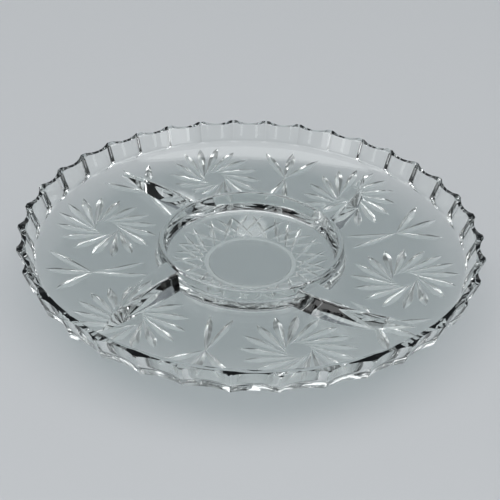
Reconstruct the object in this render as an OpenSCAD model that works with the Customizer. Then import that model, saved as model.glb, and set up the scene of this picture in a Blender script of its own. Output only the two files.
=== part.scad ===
// Round five-part relish tray in clear cut crystal: a dished plate inside a fluted rim,
// a round well in the middle, and four curved dividers between the well and the rim.
// The real tray is a single pressing, so its regions are modelled one by one and meet
// face to face. The pattern is cut into the underside and shows through the glass.

/* [Tray] */
// Diameter over the points of the rim
tray_d = 305; // [290:1:330]
// Height from the table to the tips of the rim
tray_h = 37; // [33:0.5:44]
// Thickness of the glass in the plate and the well
glass_t = 5; // [4.2:0.1:6]

/* [Plate] */
// Height of the plate's flat underside above the table
plate_lift = 6.7; // [5.5:0.1:8]
// Diameter at which the flat plate starts to curve upward
plate_flat_d = 156; // [146:1:170]
// How far that curve climbs by the foot of the rim's wall
plate_rise = 13.8; // [11.5:0.1:15]

/* [Rim] */
// Number of flutes around the rim
flute_count = 36; // [30:1:40]
// How far the wall leans out from its foot to the points at the top
rim_flare = 5.3; // [4:0.1:6.4]
// Width of the rim, from its points to where it passes into the plate
rim_band = 11; // [10:0.1:11.5]
// Depth of a flute below the points
flute_depth = 3.4; // [2.4:0.1:3.6]
// Width of the narrow land that is left on each point
land_w = 1.6; // [1:0.1:2.4]
// Thickness of the wall at the bottom of a flute
wall_t = 2.8; // [2.2:0.1:3.4]
// Radius of the cove between the plate and the wall
cove_r = 4; // [2.5:0.1:5]
// Depth of the dip in the top edge between two points
dip_depth = 1.1; // [0.6:0.1:1.6]
// Width of the flat tip that is left between two dips
tip_w = 5; // [3:0.2:8]

/* [Well] */
// Diameter of the flat foot that the tray stands on
foot_d = 58; // [52:0.5:60]
// Diameter at which the well passes into the plate
well_d = 114; // [113:0.5:120]
// Diameter of the flat floor inside the well
well_floor_d = 54; // [46:0.5:60]

/* [Collar] */
// Diameter of the collar around the well, at its top
collar_d = 124; // [122:0.5:127]
// Height of the collar above the flat plate
collar_h = 12.5; // [11.8:0.1:15]
// Thickness of the collar at its top
collar_t = 3.6; // [3:0.1:4.2]
// How far the collar's outer face leans out on its way down
collar_lean = 1.6; // [0.8:0.1:2.4]
// Radius between the plate and the collar's outer face
collar_fillet_r = 2; // [1:0.1:2.6]
// Radius of the sweep between the well's slope and the collar's inner face
collar_sweep_r = 6; // [4.5:0.1:7]

/* [Dividers] */
// Height of the dividers above the flat plate
divider_h = 10.6; // [8:0.1:10.6]
// Width of a divider where it leaves the collar
divider_root_w = 23.5; // [18:0.5:27]
// How far a divider's point swings anticlockwise of its root's leading edge
divider_swing = 16; // [12:0.5:20]
// Radius of a divider's hollow side, seen from above
divider_hollow_r = 242; // [220:2:300]
// Radius of its full side
divider_full_r = 147; // [135:1:165]
// How far each side leans inward from the plate to the top
divider_lean = 4.6; // [3:0.1:5.6]
// Radius of the shoulder along the top edges
divider_shoulder_r = 1.8; // [1:0.1:2.4]

/* [Cutting] */
// Angle between the two faces of every cut
mitre_angle = 106; // [100:1:116]
// Number of pinwheels, with as many sprigs between them
motif_count = 6; // [5:1:6]
// Uncut margin between the pinwheels and the rim
pinwheel_margin = 1.5; // [1:0.1:3]
// Number of blades in a pinwheel
blade_count = 16; // [12:1:18]
// Diameter of a pinwheel over the tips of its blades
pinwheel_d = 71; // [60:0.5:72]
// Diameter of the uncut hub that the blades start from
hub_d = 15; // [13:0.5:18]
// Angle around the hub from the outward line to the foot of the first blade
blade_start = 16; // [0:1:22]
// Angle that a blade turns from the spoke at its foot, where 90 is a tangent
blade_turn = 90; // [80:1:90]
// Greatest width of a blade
blade_w = 6.2; // [4:0.1:6.4]
// Uncut gap between a hub or a branching point and the start of each cut
cut_gap = 1.2; // [0.9:0.1:2.5]
// Uncut margin between the sprigs and the rim
sprig_margin = 3.5; // [1:0.1:5]
// Length of a sprig's middle petal
mid_petal_l = 31; // [28:0.5:33]
// Greatest width of the middle petal
mid_petal_w = 6.6; // [4.6:0.1:6.8]
// Length of each side petal
side_petal_l = 34; // [26:0.5:35]
// Greatest width of a side petal
side_petal_w = 6; // [4:0.1:6.2]
// Angle between the middle petal and a side petal
side_petal_angle = 40; // [32:1:46]
// Length of each of the two petals that point to the well
stem_l = 37; // [30:0.5:38]
// Greatest width of such a petal
stem_w = 4.4; // [3.2:0.1:4.6]
// Angle between such a petal and the line to the centre
stem_angle = 11.5; // [8:0.5:15]
// Uncut margin between the foot and the lattice
lattice_margin = 2.4; // [1.6:0.1:4]
// Diameter at the outer ends of the lattice
lattice_d = 108; // [100:0.5:109]
// Angle around the well that each leaning cut spans
lattice_span = 22; // [18:0.5:24]
// Greatest width of a lattice cut
lattice_w = 3; // [1.8:0.1:3.2]

/* [Hidden] */
$fn = 180;
glass = [0.87, 0.92, 0.94];

// Room that a cutter has beyond the glass
spare = 4;
divider_step = 90;
// How far a cut runs on below the glass at its widest, and the share of that at its ends
overrun = 0.7;
end_share = 0.1;
// Place along a cut and its width there, as shares of its length and greatest width
leaf_share = [[0, 0], [0.6, 1], [1, 0]];
groove_share = [[0, 0], [0.16, 1], [0.84, 1], [1, 0]];
// Where the cuts that lean one way start, as shares of the step between two pinwheels
lattice_share = [-0.35, -0.15, 0.05, 0.35];

tray_r = tray_d / 2;
plate_flat_r = plate_flat_d / 2;
plate_r = tray_r - rim_band;
rim_foot_r = tray_r - rim_flare;
plate_curve_r = (pow(rim_foot_r - plate_flat_r, 2) + pow(plate_rise, 2)) / (2 * plate_rise);
foot_r = foot_d / 2;
well_r = well_d / 2;
well_floor_r = well_floor_d / 2;
collar_r = collar_d / 2;
plate_top = plate_lift + glass_t;
plate_curve_z = plate_lift + plate_curve_r;
plate_hollow_r = plate_curve_r - glass_t;

// Underside of the tray: the well's cone, the flat plate and its upward curve
well_slope = atan(plate_lift / (well_r - foot_r));
function curve_z(r) = plate_curve_z - sqrt(pow(plate_curve_r, 2) - pow(r - plate_flat_r, 2));
function under_z(r) =
    r < well_r ? (r - foot_r) * tan(well_slope) : r < plate_flat_r ? plate_lift : curve_z(r);
function under_slope(r) =
    r < well_r ? well_slope : r < plate_flat_r ? 0 : asin((r - plate_flat_r) / plate_curve_r);
function under_bend(r, turn) =
    (r > plate_flat_r ? pow(cos(turn), 2) / plate_curve_r : 0)
    + pow(sin(turn), 2) * sin(under_slope(r)) / r;

// The rim's wall leans out by the same angle inside and outside
rim_foot_z = curve_z(rim_foot_r);
flare = atan((tray_r - rim_foot_r) / (tray_h - rim_foot_z));
function outer_r(z) = tray_r - (tray_h - z) * tan(flare);
function valley_r(z) = outer_r(z) - flute_depth;
function inner_r(z) = valley_r(z) - wall_t;

// Cove: centre of the circle that touches both the plate's curve and the wall
cove_seat_r = plate_hollow_r - cove_r;
cove_wall_x = inner_r(plate_curve_z) - cove_r / cos(flare) - plate_flat_r;
cove_drop = cove_wall_x * sin(flare) * cos(flare)
    + cos(flare) * sqrt(pow(cove_seat_r, 2) - pow(cove_wall_x * cos(flare), 2));
cove_c = [plate_flat_r + cove_wall_x - cove_drop * tan(flare), plate_curve_z - cove_drop];
cove_out = (cove_c - [plate_flat_r, plate_curve_z]) / cove_seat_r;
cove_side = [cos(flare), -sin(flare)];

// Flutes: the radius that leaves the land between two neighbours at the top
flute_turn = 180 / flute_count - asin(land_w / 2 / tray_r);
flute_x = tray_r * cos(flute_turn) - valley_r(tray_h);
flute_y = tray_r * sin(flute_turn);
flute_r = (pow(cos(flare) * flute_x, 2) + pow(flute_y, 2)) / (2 * cos(flare) * flute_x);
dip_half = tray_r * sin(180 / flute_count) - tip_w / 2;
dip_r = (pow(dip_half, 2) + pow(dip_depth, 2)) / (2 * dip_depth);

// Well: its inner slope stays one glass thickness above the cone of the underside
well_inner_r = well_floor_r + (plate_top - glass_t) / tan(well_slope);

// Collar: its sweep touches the well's slope and its own inner face
collar_inner_r = collar_r - collar_t;
collar_top = plate_top + collar_h;
collar_sweep = [collar_inner_r - collar_sweep_r, plate_top + collar_sweep_r * cos(well_slope)];
collar_foot_r = collar_sweep[0] + collar_sweep_r * sin(well_slope);
collar_base_r = collar_r + collar_lean;

// Dividers: both sides are arcs from the collar to one point on the rim's foot
divider_top = plate_top + divider_h;
divider_tip = [rim_foot_r, divider_swing];
divider_band = divider_root_w + spare;
function arc_centre(p, q, r) =
    (p + q) / 2 + sqrt(pow(r, 2) - pow(norm(q - p) / 2, 2)) * [p[1] - q[1], q[0] - p[0]] / norm(q - p);
hollow_c = arc_centre([collar_r, 0], divider_tip, divider_hollow_r);
full_c = arc_centre([collar_r, -divider_root_w], divider_tip, divider_full_r);

// Cutting: each cut is as deep as its width and the mitre angle make it
function cut_depth(w) = w / 2 / tan(mitre_angle / 2);
pinwheel_ring_r = plate_r - pinwheel_margin - pinwheel_d / 2;
sprig_ring_r = plate_r - sprig_margin - mid_petal_l;
blade_l = sqrt(pow(pinwheel_d / 2, 2) - pow(hub_d / 2 * sin(blade_turn), 2))
    - hub_d / 2 * cos(blade_turn);
lattice_start = (foot_r + lattice_margin) * [1, 0];
lattice_end = lattice_d / 2 * [cos(lattice_span), sin(lattice_span)];

function polar(r, turn) = [r * cos(turn), r * sin(turn)];
function heading(p) = atan2(p[1], p[0]);

// One V-shaped mitre cut into the underside, centred on a point of the plan and
// running along a heading; its keel and edges follow the curve of the glass
module mitre_cut(at, turn, l, w, outline_share) {
    r = norm(at);
    bend = under_bend(r, turn - heading(at));
    last = len(outline_share) - 1;
    points = [for (share = outline_share)
        let (x = (share[0] - 1 / 2) * l,
             z = bend * pow(x, 2) / 2,
             below = overrun * max(share[1], end_share),
             edge = share[1] * w / 2 + below * tan(mitre_angle / 2))
        each [[x, 0, z + cut_depth(share[1] * w)], [x, edge, z - below], [x, -edge, z - below]]];
    sides = [for (i = [0 : last - 1], k = 3 * i)
        each [[k, k + 1, k + 4, k + 3], [k, k + 3, k + 5, k + 2], [k + 1, k + 2, k + 5, k + 4]]];
    translate([at[0], at[1], under_z(r)])
        rotate([0, 0, heading(at)])
        rotate([0, -under_slope(r), 0])
        rotate([0, 0, turn - heading(at)])
        polyhedron(points, concat(sides, [[0, 2, 1], [3 * last, 3 * last + 1, 3 * last + 2]]));
}

// A leaf-shaped cut that starts a gap away from a point and ends a length away from it
module leaf_cut(from, turn, l, w) {
    mitre_cut(from + polar((l + cut_gap) / 2, turn), turn, l - cut_gap, w, leaf_share);
}

// Blades that leave the hub at a tangent and spin clockwise, seen from above
module pinwheel_cuts(turn) {
    centre = polar(pinwheel_ring_r, turn);
    for (i = [0 : blade_count - 1]) {
        spoke = turn + blade_start + i * 360 / blade_count;
        leaf_cut(centre + polar(hub_d / 2, spoke), spoke - blade_turn, blade_l, blade_w);
    }
}

// Three petals that open to the rim and two that close to the well
module sprig_cuts(turn) {
    branch = polar(sprig_ring_r, turn);
    leaf_cut(branch, turn, mid_petal_l, mid_petal_w);
    for (side = [-1, 1]) {
        leaf_cut(branch, turn + side * side_petal_angle, side_petal_l, side_petal_w);
        leaf_cut(branch, turn + 180 + side * stem_angle, stem_l, stem_w);
    }
}

// Crossing cuts around the foot of the well, spaced alike under every pinwheel
module lattice_cuts() {
    for (i = [0 : motif_count - 1], share = lattice_share, side = [-1, 1]) {
        turn = (i + side * share) * 360 / motif_count;
        end = [lattice_end[0], side * lattice_end[1]];
        run = end - lattice_start;
        rotate([0, 0, turn])
            mitre_cut((lattice_start + end) / 2, heading(run), norm(run), lattice_w, groove_share);
    }
}

// Cross-section of the space above the plate and inside the rim, with the cove
module hollow_profile() {
    difference() {
        intersection() {
            union() {
                translate([0, plate_top]) square([plate_flat_r, tray_h]);
                translate([plate_flat_r, plate_curve_z]) circle(r = plate_hollow_r);
            }
            polygon([[0, 0], [inner_r(0), 0], [inner_r(tray_h + spare), tray_h + spare],
                     [0, tray_h + spare]]);
        }
        difference() {
            polygon([cove_c, cove_c + cove_out * (cove_r + spare),
                     cove_c + (cove_out + cove_side) * (cove_r + spare),
                     cove_c + cove_side * (cove_r + spare)]);
            translate(cove_c) circle(r = cove_r);
        }
    }
}

// Cross-section of the plate and the rim's wall together, before the flutes
module shell_profile() {
    difference() {
        intersection() {
            union() {
                translate([well_r, plate_lift]) square([plate_flat_r - well_r, tray_h - plate_lift]);
                intersection() {
                    translate([plate_flat_r, plate_curve_z]) circle(r = plate_curve_r);
                    translate([plate_flat_r, 0]) square([tray_r, tray_h]);
                }
            }
            polygon([[well_r, 0], [outer_r(0), 0], [outer_r(tray_h), tray_h], [well_r, tray_h]]);
        }
        hollow_profile();
    }
}

// Cross-section of the collar, standing on the plate and on the well's slope
module collar_profile() {
    brim = collar_t / 2;
    difference() {
        union() {
            polygon([[collar_foot_r, plate_top], [collar_base_r + collar_fillet_r, plate_top],
                     [collar_base_r, plate_top + collar_fillet_r], [collar_r, collar_top - brim],
                     [collar_inner_r, collar_top - brim], [collar_inner_r, collar_sweep[1]]]);
            translate([collar_r - brim, collar_top - brim]) circle(r = brim);
        }
        translate(collar_sweep) circle(r = collar_sweep_r);
        translate([collar_base_r + collar_fillet_r, plate_top + collar_fillet_r])
            circle(r = collar_fillet_r);
    }
}

// Dished plate with its pinwheels and sprigs
module plate() {
    color(glass)
    difference() {
        rotate_extrude()
            intersection() {
                shell_profile();
                translate([well_r, 0]) square([plate_r - well_r, tray_h]);
            }
        for (i = [0 : motif_count - 1]) {
            pinwheel_cuts(i * 360 / motif_count);
            sprig_cuts((i + 1 / 2) * 360 / motif_count);
        }
    }
}

// Upright wall, fluted outside and dipped between the points along its top
module rim() {
    color(glass)
    difference() {
        rotate_extrude()
            intersection() {
                shell_profile();
                translate([plate_r, 0]) square([tray_r - plate_r, tray_h]);
            }
        for (i = [0 : flute_count - 1])
            rotate([0, 0, (i + 1 / 2) * 360 / flute_count]) {
                translate([valley_r(0) + flute_r / cos(flare), 0, 0])
                    rotate([0, flare, 0])
                    cylinder(r = flute_r, h = (tray_h + spare) / cos(flare));
                translate([plate_r, 0, tray_h + dip_r - dip_depth])
                    rotate([0, 90, 0])
                    cylinder(r = dip_r, h = tray_r - plate_r + spare);
            }
    }
}

// Basin in the middle: flat foot, sloping wall and the lattice under it
module well() {
    color(glass)
    difference() {
        rotate_extrude()
            polygon([[0, 0], [foot_r, 0], [well_r, plate_lift], [well_r, plate_top],
                     [well_inner_r, plate_top], [well_floor_r, glass_t], [0, glass_t]]);
        lattice_cuts();
    }
}

// Upright ring around the well
module collar() {
    color(glass)
    rotate_extrude() collar_profile();
}

// Cross-section of a divider with a leaning side at zero and a rounded shoulder
module bank_profile() {
    lean_angle = atan(divider_h / divider_lean);
    shoulder_c = [-divider_lean - divider_shoulder_r * tan(lean_angle / 2),
                  divider_top - divider_shoulder_r];
    beyond = divider_shoulder_r + spare;
    difference() {
        polygon([[-divider_band, 0], [divider_lean * plate_top / divider_h, 0],
                 [-divider_lean, divider_top], [-divider_band, divider_top]]);
        difference() {
            polygon([shoulder_c, shoulder_c + beyond * [sin(lean_angle), cos(lean_angle)],
                     shoulder_c + [beyond, beyond], shoulder_c + [0, beyond]]);
            translate(shoulder_c) circle(r = divider_shoulder_r);
        }
    }
}

// The divider's full side faces away from its centre and its hollow side toward it
module full_bank() {
    translate([full_c[0], full_c[1], 0])
        rotate_extrude() translate([divider_full_r, 0]) bank_profile();
}

module hollow_bank() {
    translate([hollow_c[0], hollow_c[1], 0])
        rotate_extrude() translate([divider_hollow_r, 0]) mirror([1, 0]) bank_profile();
}

// Curved ridge that narrows from the collar to the rim
module divider(i) {
    color(glass)
    rotate([0, 0, i * divider_step])
    intersection() {
        full_bank();
        hollow_bank();
        translate([0, -divider_band, 0]) cube([tray_r, 2 * divider_band, tray_h]);
        rotate_extrude()
            difference() {
                intersection() {
                    hollow_profile();
                    translate([collar_foot_r, 0]) square([tray_r, tray_h]);
                }
                square([collar_r - collar_t / 2, collar_top]);
                collar_profile();
            }
    }
}

plate();
rim();
well();
collar();
divider(0);  // divider_1
divider(1);  // divider_2
divider(2);  // divider_3
divider(3);  // divider_4
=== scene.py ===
# %% [markdown]
# # A cut crystal relish tray
# The real tray is one pressing of clear lead crystal: a dished plate with a fluted rim,
# a round well behind a smooth collar, and four curved dividers. Its underside is cut
# with pinwheels, sprigs and a lattice. We follow the glassmaker: shape a smooth blank,
# then take the glass away with wheels.

# %% Load the frame
import math

import bmesh
import bpy
from mathutils import Matrix, Vector


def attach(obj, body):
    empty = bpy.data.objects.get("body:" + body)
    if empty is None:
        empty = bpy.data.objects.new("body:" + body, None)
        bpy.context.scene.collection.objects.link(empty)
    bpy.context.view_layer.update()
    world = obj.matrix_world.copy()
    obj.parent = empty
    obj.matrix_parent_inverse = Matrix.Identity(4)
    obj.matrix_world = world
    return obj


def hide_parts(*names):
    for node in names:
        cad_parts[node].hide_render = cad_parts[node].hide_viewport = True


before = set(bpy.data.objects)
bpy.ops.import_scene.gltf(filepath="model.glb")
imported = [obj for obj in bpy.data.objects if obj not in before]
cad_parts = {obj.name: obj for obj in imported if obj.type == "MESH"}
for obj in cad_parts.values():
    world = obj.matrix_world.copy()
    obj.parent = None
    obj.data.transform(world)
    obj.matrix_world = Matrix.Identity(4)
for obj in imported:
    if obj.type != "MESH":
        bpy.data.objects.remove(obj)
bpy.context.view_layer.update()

# %% [markdown]
# ## The camera
# It stands where the photographer stood: a little over half a metre away, 34 degrees
# above the table, and rolled by two degrees. The roll is kept, since it tilts the ellipse.

# %% Camera
MM = 0.001
IMAGE_PX = 500
look_at = Vector((0, 0, 12)) * MM
azimuth, elevation, roll = (math.radians(a) for a in (-136.97, 34.08, 2.375))
distance = 597.3 * MM
away = Vector((math.cos(azimuth) * math.cos(elevation), math.sin(azimuth) * math.cos(elevation),
               math.sin(elevation)))
level_right = Vector((-math.sin(azimuth), math.cos(azimuth), 0))
level_up = away.cross(level_right)
right = math.cos(roll) * level_right + math.sin(roll) * level_up
up = away.cross(right)
camera_data = bpy.data.cameras.new("camera")
camera_data.sensor_width = 36
camera_data.lens = 881.4 / IMAGE_PX * camera_data.sensor_width
camera_data.shift_x = -0.8 / IMAGE_PX
camera_data.shift_y = 1.9 / IMAGE_PX
camera_data.clip_end = 20
camera = bpy.data.objects.new("camera", camera_data)
camera.matrix_world = Matrix((right, up, away)).transposed().to_4x4()
camera.location = look_at + distance * away
bpy.context.scene.collection.objects.link(camera)
bpy.context.scene.camera = camera
print("camera at", tuple(round(c, 3) for c in camera.location), "lens", round(camera_data.lens, 1))

# %% [markdown]
# ## Measures
# These repeat the sizes of the CAD model, in millimetres. The plate's underside is flat
# out to a radius of 78 and then curves up; the inside runs five millimetres above it.

# %% Measures
TRAY_R, TRAY_H, GLASS = 152.5, 37.0, 5.0
FOOT_R, WELL_R, WELL_FLOOR_R = 29.0, 57.0, 27.0
LIFT, FLAT_R, RISE = 6.7, 78.0, 13.8
RIM_FOOT_R, FLUTE_DEPTH, WALL, COVE_R = 147.2, 3.4, 2.8, 4.0
COLLAR_R, COLLAR_H, COLLAR_T, SWEEP_R, FILLET_R, COLLAR_LEAN = 62.0, 12.5, 3.6, 6.0, 2.0, 1.6
FOOT_EDGE_R, LIP = 0.8, 0.7
FLUTES = 36
TOP = LIFT + GLASS
CURVE_R = ((RIM_FOOT_R - FLAT_R) ** 2 + RISE**2) / (2 * RISE)
CURVE_Z = LIFT + CURVE_R
HOLLOW_R = CURVE_R - GLASS


def curve_z(r):
    """Height of the underside at a radius."""
    if r < FOOT_R:
        return 0.0
    if r < WELL_R:
        return LIFT * (r - FOOT_R) / (WELL_R - FOOT_R)
    if r < FLAT_R:
        return LIFT
    return CURVE_Z - math.sqrt(CURVE_R**2 - (r - FLAT_R) ** 2)


rim_foot_z = curve_z(RIM_FOOT_R)
flare = math.atan((TRAY_R - RIM_FOOT_R) / (TRAY_H - rim_foot_z))
print("rim foot at", round(rim_foot_z, 1), "mm, flare", round(math.degrees(flare), 1), "degrees")

# %% [markdown]
# ## Helpers
# A profile is drawn as a chain of points in the XZ plane. Where it turns smoothly, the
# last point is spun about a centre, which leaves an arc of edges behind it. One full
# spin about the Z axis then turns the chain into a body.

# %% Profile helpers


def step_to(bm, last, x, z):
    """Adds a point of the profile and the edge that leads to it."""
    new = bm.verts.new((x * MM, 0, z * MM))
    bm.edges.new((last, new))
    return new


def sweep(bm, last, centre, degrees, steps):
    """Spins the last point about a centre; positive is clockwise seen along +Y."""
    spun = bmesh.ops.spin(bm, geom=[last], cent=(centre[0] * MM, 0, centre[1] * MM), axis=(0, 1, 0),
                          dvec=(0, 0, 0), angle=math.radians(degrees), steps=steps, use_merge=False)
    return [g for g in spun["geom_last"] if isinstance(g, bmesh.types.BMVert)][0]


def turned(bm, steps, angle=360, centre=(0, 0)):
    """Spins the whole profile about an upright axis into a closed body."""
    full = angle == 360
    bmesh.ops.spin(bm, geom=bm.verts[:] + bm.edges[:], cent=(centre[0] * MM, centre[1] * MM, 0),
                   axis=(0, 0, 1), dvec=(0, 0, 0), angle=math.radians(angle), steps=steps,
                   use_merge=full)
    bmesh.ops.remove_doubles(bm, verts=bm.verts, dist=1e-6)
    bmesh.ops.recalc_face_normals(bm, faces=bm.faces)


def new_object(name, bm):
    """Turns a finished bmesh into an object at the origin."""
    mesh = bpy.data.meshes.new(name)
    bm.to_mesh(mesh)
    bm.free()
    item = bpy.data.objects.new(name, mesh)
    bpy.context.scene.collection.objects.link(item)
    return item


# %% [markdown]
# ## The blank
# The blank has no flutes and no cuts yet. Its profile starts at the axis under the foot,
# runs out along the underside, up the rim, back over the inside and down into the well.

# %% Blank
wall_in = FLUTE_DEPTH + WALL
cos_f, sin_f, tan_f = math.cos(flare), math.sin(flare), math.tan(flare)


def outer_r(z):
    return TRAY_R - (TRAY_H - z) * tan_f


def blank_profile(bm):
    # the cove's circle touches both the plate's inner curve and the wall
    seat = HOLLOW_R - COVE_R
    wall_x = outer_r(CURVE_Z) - wall_in - COVE_R / cos_f - FLAT_R
    drop = wall_x * sin_f * cos_f + cos_f * math.sqrt(seat**2 - (wall_x * cos_f) ** 2)
    cove = (FLAT_R + wall_x - drop * tan_f, CURVE_Z - drop)
    cove_turn = math.degrees(math.asin((cove[0] - FLAT_R) / seat))
    slope = math.atan(LIFT / (WELL_R - FOOT_R))
    well_inner_r = WELL_FLOOR_R + LIFT / math.tan(slope)
    collar_in = COLLAR_R - COLLAR_T
    sweep_c = (collar_in - SWEEP_R, TOP + SWEEP_R * math.cos(slope))
    brim = COLLAR_T / 2
    collar_top = TOP + COLLAR_H
    base = COLLAR_R + COLLAR_LEAN

    v = bm.verts.new((0, 0, 0))
    for r in (10, 20, FOOT_R - FOOT_EDGE_R):
        v = step_to(bm, v, r, 0)
    v = sweep(bm, v, (FOOT_R - FOOT_EDGE_R, FOOT_EDGE_R), -60, 4)
    cone_start = FOOT_R + 0.6
    for i in range(1, 13):
        r = cone_start + (WELL_R - cone_start) * i / 12
        v = step_to(bm, v, r, curve_z(r))
    for i in range(1, 9):
        v = step_to(bm, v, WELL_R + (FLAT_R - WELL_R) * i / 8, LIFT)
    plate_turn = math.degrees(math.asin((RIM_FOOT_R - FLAT_R) / CURVE_R))
    v = sweep(bm, v, (FLAT_R, CURVE_Z), -plate_turn, 36)
    for i in range(1, 9):
        z = rim_foot_z + (TRAY_H - LIP - rim_foot_z) * i / 8
        v = step_to(bm, v, outer_r(z), z)
    v = step_to(bm, v, outer_r(TRAY_H) - LIP, TRAY_H)
    v = step_to(bm, v, outer_r(TRAY_H) - wall_in + LIP, TRAY_H)
    z_touch = cove[1] - COVE_R * sin_f
    for i in range(0, 6):
        z = TRAY_H - LIP - (TRAY_H - LIP - z_touch) * i / 6
        v = step_to(bm, v, outer_r(z) - wall_in, z)
    v = step_to(bm, v, cove[0] + COVE_R * cos_f, z_touch)
    v = sweep(bm, v, cove, 90 - math.degrees(flare) - cove_turn, 10)
    v = sweep(bm, v, (FLAT_R, CURVE_Z), cove_turn, 34)
    for i in range(1, 5):
        v = step_to(bm, v, FLAT_R + (base + FILLET_R - FLAT_R) * i / 4, TOP)
    v = sweep(bm, v, (base + FILLET_R, TOP + FILLET_R), 80, 6)
    for i in range(1, 6):
        t = i / 5
        z = TOP + FILLET_R + (collar_top - brim - TOP - FILLET_R) * t
        v = step_to(bm, v, base + (COLLAR_R - base) * t, z)
    v = sweep(bm, v, (COLLAR_R - brim, collar_top - brim), -180, 14)
    for i in range(1, 4):
        v = step_to(bm, v, collar_in, collar_top - brim + (sweep_c[1] - collar_top + brim) * i / 3)
    v = sweep(bm, v, sweep_c, 90 - math.degrees(slope), 12)
    for i in range(1, 15):
        t = i / 14
        start = sweep_c[0] + SWEEP_R * math.sin(slope)
        r = start + (WELL_FLOOR_R - start) * t
        v = step_to(bm, v, r, GLASS + (r - WELL_FLOOR_R) * math.tan(slope))
    for r in (18, 9, 0):
        v = step_to(bm, v, r, GLASS)


bm = bmesh.new()
blank_profile(bm)
turned(bm, 360)
tray = new_object("crystal_tray", bm)
print("blank:", len(tray.data.vertices), "vertices,", len(tray.data.polygons), "faces")
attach(tray, "root")
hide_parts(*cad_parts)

# %% [markdown]
# ## The dividers
# Each divider is what two leaning banks have in common: one is turned about a centre on
# its hollow side, the other about a centre on its full side. A third body, the hollow of
# the tray let a little way into the glass, trims the ends, so the union has no gap.

# %% Boolean helper


def combine(item, tools, operation):
    """Adds, takes away or intersects closed bodies, then removes the tools."""
    crate = bpy.data.collections.new("tools")
    for tool in tools:
        bpy.context.scene.collection.objects.unlink(tool)
        crate.objects.link(tool)
    step = item.modifiers.new("tools", "BOOLEAN")
    step.operation = operation
    step.solver = "MANIFOLD"
    step.operand_type = "COLLECTION"
    step.collection = crate
    depsgraph = bpy.context.evaluated_depsgraph_get()
    done = bpy.data.meshes.new_from_object(item.evaluated_get(depsgraph))
    item.modifiers.clear()
    old = item.data
    item.data = done
    bpy.data.meshes.remove(old)
    for tool in tools:
        mesh = tool.data
        bpy.data.objects.remove(tool)
        if not mesh.users:
            bpy.data.meshes.remove(mesh)
    bpy.data.collections.remove(crate)
    return item


# %% Dividers
DIVIDERS, DIVIDER_H, ROOT_W, SWING, LEAN, SHOULDER = 4, 10.6, 23.5, 16.0, 4.6, 3.0
HOLLOW_SIDE_R, FULL_SIDE_R = 242.0, 147.0
SUNK = 2.5


def arc_centre(p, q, radius):
    """Centre of an arc from p to q, on the left of the way from one to the other."""
    way = q - p
    left = Vector((-way.y, way.x)).normalized()
    return (p + q) / 2 + left * math.sqrt(radius**2 - (way.length / 2) ** 2)


def bank(name, centre, side_r, facing):
    """A ring with one leaning side and a rounded shoulder, turned about the centre."""
    lean = math.atan2(DIVIDER_H, LEAN)
    top, low = TOP + DIVIDER_H, TOP - 8
    band = ROOT_W + 8
    shoulder = (side_r - facing * (LEAN + SHOULDER * math.tan(lean / 2)), top - SHOULDER)
    bm = bmesh.new()
    first = v = bm.verts.new(((side_r - facing * band) * MM, 0, low * MM))
    v = step_to(bm, v, side_r + facing * LEAN * (TOP - low) / DIVIDER_H, low)
    v = step_to(bm, v, shoulder[0] + facing * SHOULDER * math.sin(lean),
                shoulder[1] + SHOULDER * math.cos(lean))
    v = sweep(bm, v, shoulder, -facing * math.degrees(lean), 8)
    v = step_to(bm, v, side_r - facing * band, top)
    bm.edges.new((v, first))
    turned(bm, 720)
    bmesh.ops.translate(bm, verts=bm.verts, vec=(centre.x * MM, centre.y * MM, 0))
    return new_object(name, bm)


def block(name, low, high):
    """A plain box between two corners, for trimming."""
    bm = bmesh.new()
    bmesh.ops.create_cube(bm, size=1)
    size = [b - a for a, b in zip(low, high)]
    bmesh.ops.scale(bm, vec=[s * MM for s in size], verts=bm.verts)
    bmesh.ops.translate(bm, vec=[(a + b) / 2 * MM for a, b in zip(low, high)], verts=bm.verts)
    return new_object(name, bm)


def filling():
    """The hollow of the tray, let a little way into the plate and the collar."""
    bm = bmesh.new()
    inner = COLLAR_R - 1
    past_rim_foot = 21.0
    first = v = bm.verts.new((inner * MM, 0, (TOP - SUNK) * MM))
    v = step_to(bm, v, FLAT_R, TOP - SUNK)
    v = sweep(bm, v, (FLAT_R, CURVE_Z), -past_rim_foot, 20)
    v = step_to(bm, v, v.co.x / MM, TRAY_H)
    v = step_to(bm, v, inner, TRAY_H)
    bm.edges.new((v, first))
    turned(bm, 360)
    return new_object("filling", bm)


root_in = COLLAR_R
tip = Vector((RIM_FOOT_R, SWING))
hollow_c = arc_centre(Vector((root_in, 0)), tip, HOLLOW_SIDE_R)
full_c = arc_centre(Vector((root_in, -ROOT_W)), tip, FULL_SIDE_R)
ridge = bank("ridge", full_c, FULL_SIDE_R, 1)
combine(ridge, [bank("hollow_bank", hollow_c, HOLLOW_SIDE_R, -1), filling(),
                block("front", (0, -60, -10), (160, 60, 60))], "INTERSECT")
print("ridge:", len(ridge.data.polygons), "faces", [round(c / MM, 1) for c in ridge.dimensions])


def copies(item, count, step):
    """Copies of a body, each turned about the tray's axis by its place in the row."""
    made = []
    for i in range(count):
        mesh = item.data.copy()
        mesh.transform(Matrix.Rotation(i * step, 4, "Z"))
        made.append(bpy.data.objects.new(f"{item.name}_{i}", mesh))
        bpy.context.scene.collection.objects.link(made[-1])
    return made


combine(tray, copies(ridge, DIVIDERS, 2 * math.pi / DIVIDERS), "UNION")
bpy.data.objects.remove(ridge)
print("with dividers:", len(tray.data.polygons), "faces")

# %% [markdown]
# ## The fluted rim
# A flute is a shallow round groove that runs up the wall, so its cutter is a leaning
# cylinder. Two neighbours leave a narrow land between them, which is the point of the
# rim. A second, lying cylinder dips the top edge between the points.

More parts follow.
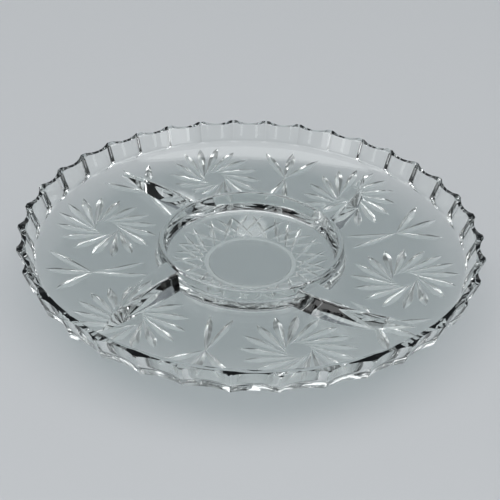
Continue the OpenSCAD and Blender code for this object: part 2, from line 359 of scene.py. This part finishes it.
# %% Flutes
LAND_W, DIP_DEPTH, TIP_W = 1.6, 1.1, 5.0
half_step = math.pi / FLUTES
turn = half_step - math.asin(LAND_W / 2 / TRAY_R)
valley = TRAY_R - FLUTE_DEPTH
flute_x = (TRAY_R * math.cos(turn) - valley) * cos_f
flute_y = TRAY_R * math.sin(turn)
flute_r = (flute_x**2 + flute_y**2) / (2 * flute_x)
dip_half = TRAY_R * math.sin(half_step) - TIP_W / 2
dip_r = (dip_half**2 + DIP_DEPTH**2) / (2 * DIP_DEPTH)


def rod(name, radius, length, segments, matrix):
    """A closed cylinder along its own Z axis, starting at zero, then put in place."""
    bm = bmesh.new()
    bmesh.ops.create_cone(bm, cap_ends=True, segments=segments, radius1=radius * MM,
                          radius2=radius * MM, depth=length * MM)
    bmesh.ops.translate(bm, vec=(0, 0, length / 2 * MM), verts=bm.verts)
    bm.transform(matrix)
    return new_object(name, bm)


def at(x, y, z):
    return Matrix.Translation(Vector((x, y, z)) * MM)


valley_foot = outer_r(0) - FLUTE_DEPTH
flute = rod("flute", flute_r, 60, 256, Matrix.Rotation(half_step, 4, "Z")
            @ at(valley_foot + flute_r / cos_f, 0, 0) @ Matrix.Rotation(flare, 4, "Y"))
dip = rod("dip", dip_r, 20, 360, Matrix.Rotation(half_step, 4, "Z")
          @ at(TRAY_R - 12, 0, TRAY_H + dip_r - DIP_DEPTH) @ Matrix.Rotation(math.pi / 2, 4, "Y"))
grooves = copies(flute, FLUTES, 2 * half_step) + copies(dip, FLUTES, 2 * half_step)
combine(tray, grooves, "DIFFERENCE")
for item in (flute, dip):
    bpy.data.objects.remove(item)
print("fluted:", len(tray.data.polygons), "faces; flute radius", round(flute_r, 1), "mm")

# %% [markdown]
# ## The cutting wheel
# Mitre cuts are made by a stone wheel with a V-shaped edge. Where the wheel dips into the
# glass it leaves a leaf with a keel down its middle. The wheel's radius follows from the
# length and depth of the leaf, less the bend of the plate, which meets the wheel halfway.
# The cutter leans on the outer end, so a blade is widest past its middle. A pinwheel's
# blade is fed in slowly besides: its keel runs almost straight down from the hub, so it
# starts thin, and neighbours don't run into each other there.

# %% Cutting wheel
MITRE = math.radians(106)
OUTSIDE, OVERRUN = 1.6, 1.15  # how far the wheel's body and its swing reach past the leaf


def bend_at(r, turn):
    """How much the underside curves toward the plate along a heading."""
    if r < WELL_R:
        slope = math.atan(LIFT / (WELL_R - FOOT_R))
        return slope, math.sin(turn) ** 2 * math.sin(slope) / r
    if r < FLAT_R:
        return 0.0, 0.0
    slope = math.asin((r - FLAT_R) / CURVE_R)
    return slope, math.cos(turn) ** 2 / CURVE_R + math.sin(turn) ** 2 * math.sin(slope) / r


def leaf(name, start, heading, length, width, belly=0.62, spans=22, taper=0.0):
    """A cutter for one leaf that starts at a point of the plan and runs along a heading.

    The belly is the share of the length at which the leaf is widest, and the taper is how
    straight its keel runs from the start to there, from 0 for an arc to 1 for a line.
    """
    middle = start + Vector((math.cos(heading), math.sin(heading))) * length * belly
    r = middle.length
    around = math.atan2(middle.y, middle.x)
    slope, bend = bend_at(r, heading - around)
    depth = width / 2 / math.tan(MITRE / 2)
    wheel_r = 1 / (8 * depth / length**2 - bend)
    reach = depth * OUTSIDE
    half = reach * math.tan(MITRE / 2)
    swing = OVERRUN * math.asin(length / 2 / wheel_r)
    bm = bmesh.new()
    wedge = ((-half, depth - reach), (0, depth), (half, depth - reach))
    corners = [bm.verts.new((0, y * MM, z * MM)) for y, z in wedge]
    loop = [bm.edges.new((corners[i], corners[i - 1])) for i in range(3)]
    centre = (0, 0, (depth - wheel_r) * MM)
    bmesh.ops.rotate(bm, verts=corners, cent=centre, matrix=Matrix.Rotation(-swing, 3, "Y"))
    bmesh.ops.spin(bm, geom=corners + loop, cent=centre, axis=(0, 1, 0), dvec=(0, 0, 0),
                   angle=2 * swing, steps=spans, use_merge=False)
    bmesh.ops.holes_fill(bm, edges=bm.edges, sides=3)
    for side, part in ((-1, belly), (1, 1 - belly)):
        stretch = 1 / math.sqrt(wheel_r * (2 * depth / (length * part) ** 2 - bend))
        verts = [v for v in bm.verts if v.co.x * side > 1e-7]
        bmesh.ops.scale(bm, vec=(stretch, 1, 1), verts=verts)
    if taper:
        for v in bm.verts:
            run = max(0.0, -v.co.x / (length * belly * MM))
            v.co.z += taper * depth * MM * (run**2 - run)
    bmesh.ops.recalc_face_normals(bm, faces=bm.faces)
    bm.transform(at(middle.x, middle.y, curve_z(r)) @ Matrix.Rotation(around, 4, "Z")
                 @ Matrix.Rotation(-slope, 4, "Y") @ Matrix.Rotation(heading - around, 4, "Z"))
    return new_object(name, bm)


def polar(r, angle):
    return Vector((r * math.cos(angle), r * math.sin(angle)))


# %% [markdown]
# ## Pinwheels and sprigs
# Six pinwheels of sixteen blades ring the well. A blade leaves the uncut hub at a
# tangent, so the wheel seems to spin. Between two pinwheels stands a sprig: three petals
# open to the rim and two close to the well. They start a little before the branch, so
# that their shallow ends meet there.

# %% Pinwheels and sprigs
MOTIFS, WHEEL_RING_R, BLADES, WHEEL_R, HUB_R, BLADE_W = 6, 104.5, 16, 35.5, 7.5, 6.2
BLADE_START, BLADE_BELLY, BLADE_TAPER = math.radians(16), 0.68, 0.9
BRANCH_R, GAP, MID, SIDE, STEM = 107.0, -1.5, (31.0, 6.6), (34.0, 6.0), (37.0, 4.4)
SIDE_TURN, STEM_TURN = math.radians(40), math.radians(11.5)
blade_l = math.sqrt(WHEEL_R**2 - HUB_R**2)
cuts = []
for i in range(MOTIFS):
    way = i * 2 * math.pi / MOTIFS
    for k in range(BLADES):
        spoke = way + BLADE_START + k * 2 * math.pi / BLADES
        hub_edge = polar(WHEEL_RING_R, way) + polar(HUB_R, spoke)
        cuts.append(leaf(f"blade_{i}_{k}", hub_edge, spoke - math.pi / 2, blade_l, BLADE_W,
                         belly=BLADE_BELLY, taper=BLADE_TAPER))
    way += math.pi / MOTIFS
    branch = polar(BRANCH_R, way)
    petals = [(0, MID), (SIDE_TURN, SIDE), (-SIDE_TURN, SIDE),
              (math.pi + STEM_TURN, STEM), (math.pi - STEM_TURN, STEM)]
    for k, (turn, (length, width)) in enumerate(petals):
        cuts.append(leaf(f"petal_{i}_{k}", branch + polar(GAP, way + turn), way + turn,
                         length - GAP, width))
combine(tray, cuts, "DIFFERENCE")
print("pinwheels and sprigs:", len(tray.data.polygons), "faces")

# %% [markdown]
# ## The lattice of the well
# Around the foot, narrow cuts lean one way and then the other and cross on the way up.
# They aren't spaced evenly: under each pinwheel four cuts start on each side, so wide
# diamonds alternate with close crossings.

# %% Lattice
LATTICE_R, LATTICE_W, LATTICE_SPAN, LATTICE_MARGIN = 54.0, 3.8, math.radians(22), 2.4
LATTICE_STARTS = [math.radians(a) for a in (-21, -9, 3, 21)]
cuts = []
for i in range(MOTIFS):
    for k, start in enumerate(LATTICE_STARTS):
        for side in (-1, 1):
            way = i * 2 * math.pi / MOTIFS + side * start
            begin = polar(FOOT_R + LATTICE_MARGIN, way)
            run = polar(LATTICE_R, way + side * LATTICE_SPAN) - begin
            cuts.append(leaf(f"lattice_{i}_{k}_{side + 1}", begin, math.atan2(run.y, run.x),
                             run.length, LATTICE_W, belly=0.5, spans=16))
combine(tray, cuts, "DIFFERENCE")
print("lattice:", len(tray.data.polygons), "faces")

# %% [markdown]
# ## Shading the surface
# The wheels leave crisp edges and the fire-polished blank is smooth, so faces are shaded
# smooth and every edge that turns by more than 24 degrees is marked sharp.

# %% Shading
SHARP = math.radians(24)
tray.data.shade_smooth()
tray.data.set_sharp_from_angle(angle=SHARP)
print("sharp edges:", sum(e.use_edge_sharp for e in tray.data.edges))

# %% [markdown]
# ## Crystal
# Clear lead crystal, pressed, cut and acid polished. It bends light more than window
# glass, which is what makes the cuts sparkle. It is never quite perfect: fire polishing
# leaves slow waves a few millimetres long, and washing leaves the faintest bloom. The
# wheel leaves a satin that the acid doesn't quite take away, so its faces scatter about
# a quarter of the light, and read as white leaves in clear glass. Light for a shadow or
# for the table goes straight through, a little dimmed.

# %% Material helpers


def linear(hex_colour):
    """An sRGB hex colour as linear RGBA."""
    channels = [int(hex_colour[i:i + 2], 16) / 255 for i in (1, 3, 5)]
    return [c / 12.92 if c <= 0.04045 else ((c + 0.055) / 1.055) ** 2.4 for c in channels] + [1]


def new_material(name):
    material = bpy.data.materials.new(name)
    material.use_nodes = True
    material.node_tree.nodes.clear()
    return material


def add(tree, kind, settings=(), sockets=(), **named):
    """Adds a node; a socket, numbered or named, gets a value, or a link as (node, output)."""
    node = tree.nodes.new(kind)
    for key, value in dict(settings).items():
        setattr(node, key, value)
    for key, value in {**dict(sockets), **named}.items():
        socket = node.inputs[key if isinstance(key, int) else key.replace("_", " ")]
        if isinstance(value, tuple) and isinstance(value[0], bpy.types.Node):
            tree.links.new(value[0].outputs[value[1]], socket)
        else:
            socket.default_value = value
    return node


# %% Crystal material


def crystal(name, wave_mm, wave_strength, bloom_mm, roughness, clarity):
    """Lead crystal with waves and bloom of a length, a range of roughness, and a clarity."""
    material = new_material(name)
    tree = material.node_tree
    place = add(tree, "ShaderNodeTexCoord")
    waves = add(tree, "ShaderNodeTexNoise", Vector=(place, "Object"), Scale=1 / (wave_mm * MM),
                Detail=1.0)
    ripple = add(tree, "ShaderNodeBump", Strength=wave_strength, Distance=0.4 * MM,
                 Height=(waves, "Fac"))
    bloom = add(tree, "ShaderNodeTexNoise", Vector=(place, "Object"), Scale=1 / (bloom_mm * MM),
                Detail=4.0)
    haze = add(tree, "ShaderNodeMapRange", Value=(bloom, "Fac"), From_Min=0.3, From_Max=0.8,
               To_Min=roughness[0], To_Max=roughness[1])
    glass = add(tree, "ShaderNodeBsdfPrincipled", Base_Color=linear("#FBFDFC"), Metallic=0.0,
                IOR=1.545, Transmission_Weight=clarity, Roughness=(haze, "Result"),
                Normal=(ripple, "Normal"))
    path = add(tree, "ShaderNodeLightPath")
    clear = add(tree, "ShaderNodeBsdfTransparent", Color=linear("#E4E8E8"))
    straight = add(tree, "ShaderNodeMath", {"operation": "MAXIMUM"},
                   {0: (path, "Is Shadow Ray"), 1: (path, "Is Diffuse Ray")})
    mixed = add(tree, "ShaderNodeMixShader", {}, {1: (glass, "BSDF"), 2: (clear, "BSDF")},
                Fac=(straight, "Value"))
    add(tree, "ShaderNodeOutputMaterial", Surface=(mixed, "Shader"))
    return material


tray.data.materials.clear()
tray.data.materials.append(crystal("lead_crystal_fire_polished", wave_mm=14, wave_strength=0.035,
                                   bloom_mm=6, roughness=(0.0, 0.03), clarity=1.0))
tray.data.materials.append(crystal("lead_crystal_wheel_cut_and_acid_polished", wave_mm=2.0,
                                   wave_strength=0.06, bloom_mm=1.6, roughness=(0.03, 0.12),
                                   clarity=0.72))
print("materials:", [m.name for m in tray.data.materials])

# %% [markdown]
# The faces that the wheel has left get the second material. They face down and lie above
# the underside of the blank, which is how they are found here.

# %% Cut faces
DOWN, SKIN = -0.1, 0.03
cut_faces = 0
for face in tray.data.polygons:
    r = face.center.xy.length / MM
    is_cut = (face.normal.z < DOWN and FOOT_R + 1 < r < RIM_FOOT_R - 6
              and face.center.z / MM > curve_z(r) + SKIN)
    face.material_index = int(is_cut)
    cut_faces += is_cut
print("cut faces:", cut_faces)

# %% [markdown]
# ## The stage
# A plain pale table top and plain soft light. Glass shows what is around it: a wide
# lamp overhead, a lamp at each side and two upright ones in front give it bright edges,
# and the room gets darker upwards, so that the cuts have something dark to bend too. Far
# from the tray the lamps don't reach the table. Eye and glass see plain paper there,
# which meets the room at the horizon. The foot stands a hair above the table, because
# glass never quite touches what it stands on, and would look wet if it did.

# %% Table top
HORIZON, ROOM = "#C3C6C8", "#6C7277"
AIR_GAP = 0.15
bm = bmesh.new()
bmesh.ops.create_grid(bm, x_segments=1, y_segments=1, size=20, matrix=at(0, 0, -AIR_GAP))
table = new_object("table_top", bm)
pale = new_material("table_top_pale_laminate")
tree = pale.node_tree
place = add(tree, "ShaderNodeTexCoord")
grain = add(tree, "ShaderNodeTexNoise", Vector=(place, "Object"), Scale=1 / (2 * MM), Detail=2.0)
tone = add(tree, "ShaderNodeMapRange", Value=(grain, "Fac"), From_Min=0.0, From_Max=1.0,
           To_Min=0.42, To_Max=0.48)
top = add(tree, "ShaderNodeBsdfPrincipled", Base_Color=linear("#C7C9CB"),
          Roughness=(tone, "Result"))

# the paper beyond, for the rays of eye and glass alone
path = add(tree, "ShaderNodeLightPath")
eye = add(tree, "ShaderNodeMath", {"operation": "MAXIMUM"},
          {0: (path, "Is Camera Ray"), 1: (path, "Is Glossy Ray")})
eye_and_glass = add(tree, "ShaderNodeMath", {"operation": "MAXIMUM"},
                    {0: (eye, "Value"), 1: (path, "Is Transmission Ray")})
reach = add(tree, "ShaderNodeVectorMath", {"operation": "LENGTH"}, Vector=(place, "Object"))
far = add(tree, "ShaderNodeMapRange", {"interpolation_type": "SMOOTHSTEP"}, Value=(reach, "Value"),
          From_Min=0.9, From_Max=3.2, To_Min=0.0, To_Max=1.0)
share = add(tree, "ShaderNodeMath", {"operation": "MULTIPLY"},
            {0: (far, "Result"), 1: (eye_and_glass, "Value")})
paper = add(tree, "ShaderNodeEmission", Color=linear(HORIZON), Strength=1.0)
backdrop = add(tree, "ShaderNodeMixShader", {}, {1: (top, "BSDF"), 2: (paper, "Emission")},
               Fac=(share, "Value"))
add(tree, "ShaderNodeOutputMaterial", Surface=(backdrop, "Shader"))
table.data.materials.append(pale)
print("table top:", round(table.dimensions.x), "m wide,", AIR_GAP, "mm under the foot")

# %% [markdown]
# The lamps are wide, so their edges are soft, and they stand high: a lamp that stands low
# is mirrored by the flat plate and bleaches it. Only the two upright ones are low, for
# the bright bars that they draw on the flutes.

# %% Lamps


def lamp(name, location, size, watts, target=(0, 0, 0.01)):
    """A wide lamp that faces a target."""
    data = bpy.data.lights.new(name, "AREA")
    data.shape = "RECTANGLE"
    data.size, data.size_y = size
    data.energy = watts
    item = bpy.data.objects.new(name, data)
    item.location = location
    item.rotation_euler = (Vector(target) - Vector(location)).to_track_quat("-Z", "Y").to_euler()
    bpy.context.scene.collection.objects.link(item)
    return item


behind = -away
behind.z = 0
behind.normalize()
side = Vector((-behind.y, behind.x, 0))
lamps = [
    lamp("soft_top_lamp", behind * 0.3 + Vector((0, 0, 4.8)), (6.6, 5.2), 154),
    lamp("soft_left_lamp", side * 2.4 + Vector((0, 0, 4.2)), (1.8, 3.0), 32),
    lamp("soft_right_lamp", -side * 2.6 + behind * 0.5 + Vector((0, 0, 4.0)), (1.6, 2.6), 26),
    lamp("front_left_strip", (side - behind) * 2.7 + Vector((0, 0, 1.5)), (1.2, 2.7), 20),
    lamp("front_right_strip", (-side - behind) * 2.7 + Vector((0, 0, 1.5)), (1.2, 2.7), 20),
]
print("lamps:", {item.name: item.data.energy for item in lamps})

# %% [markdown]
# The room is as pale as the paper at the horizon, and darker from there to halfway up.

# %% Room
world = bpy.data.worlds.new("studio_room")
bpy.context.scene.world = world
world.use_nodes = True
room = world.node_tree
room.nodes.clear()
gaze = add(room, "ShaderNodeTexCoord")
split = add(room, "ShaderNodeSeparateXYZ", Vector=(gaze, "Generated"))
height = add(room, "ShaderNodeMapRange", Value=(split, "Z"), From_Min=0.08, From_Max=0.45,
             To_Min=0.0, To_Max=1.0)
walls = add(room, "ShaderNodeMix", {"data_type": "RGBA"}, {6: linear(HORIZON), 7: linear(ROOM)},
            Factor=(height, "Result"))
air = add(room, "ShaderNodeBackground", Color=(walls, 2), Strength=1.0)
add(room, "ShaderNodeOutputWorld", Surface=(air, "Background"))
bpy.context.scene.view_settings.view_transform = "Standard"
bpy.context.scene.cycles.transmission_bounces = 24
bpy.context.scene.cycles.max_bounces = 28
print("room:", HORIZON, "at the horizon,", ROOM, "above")
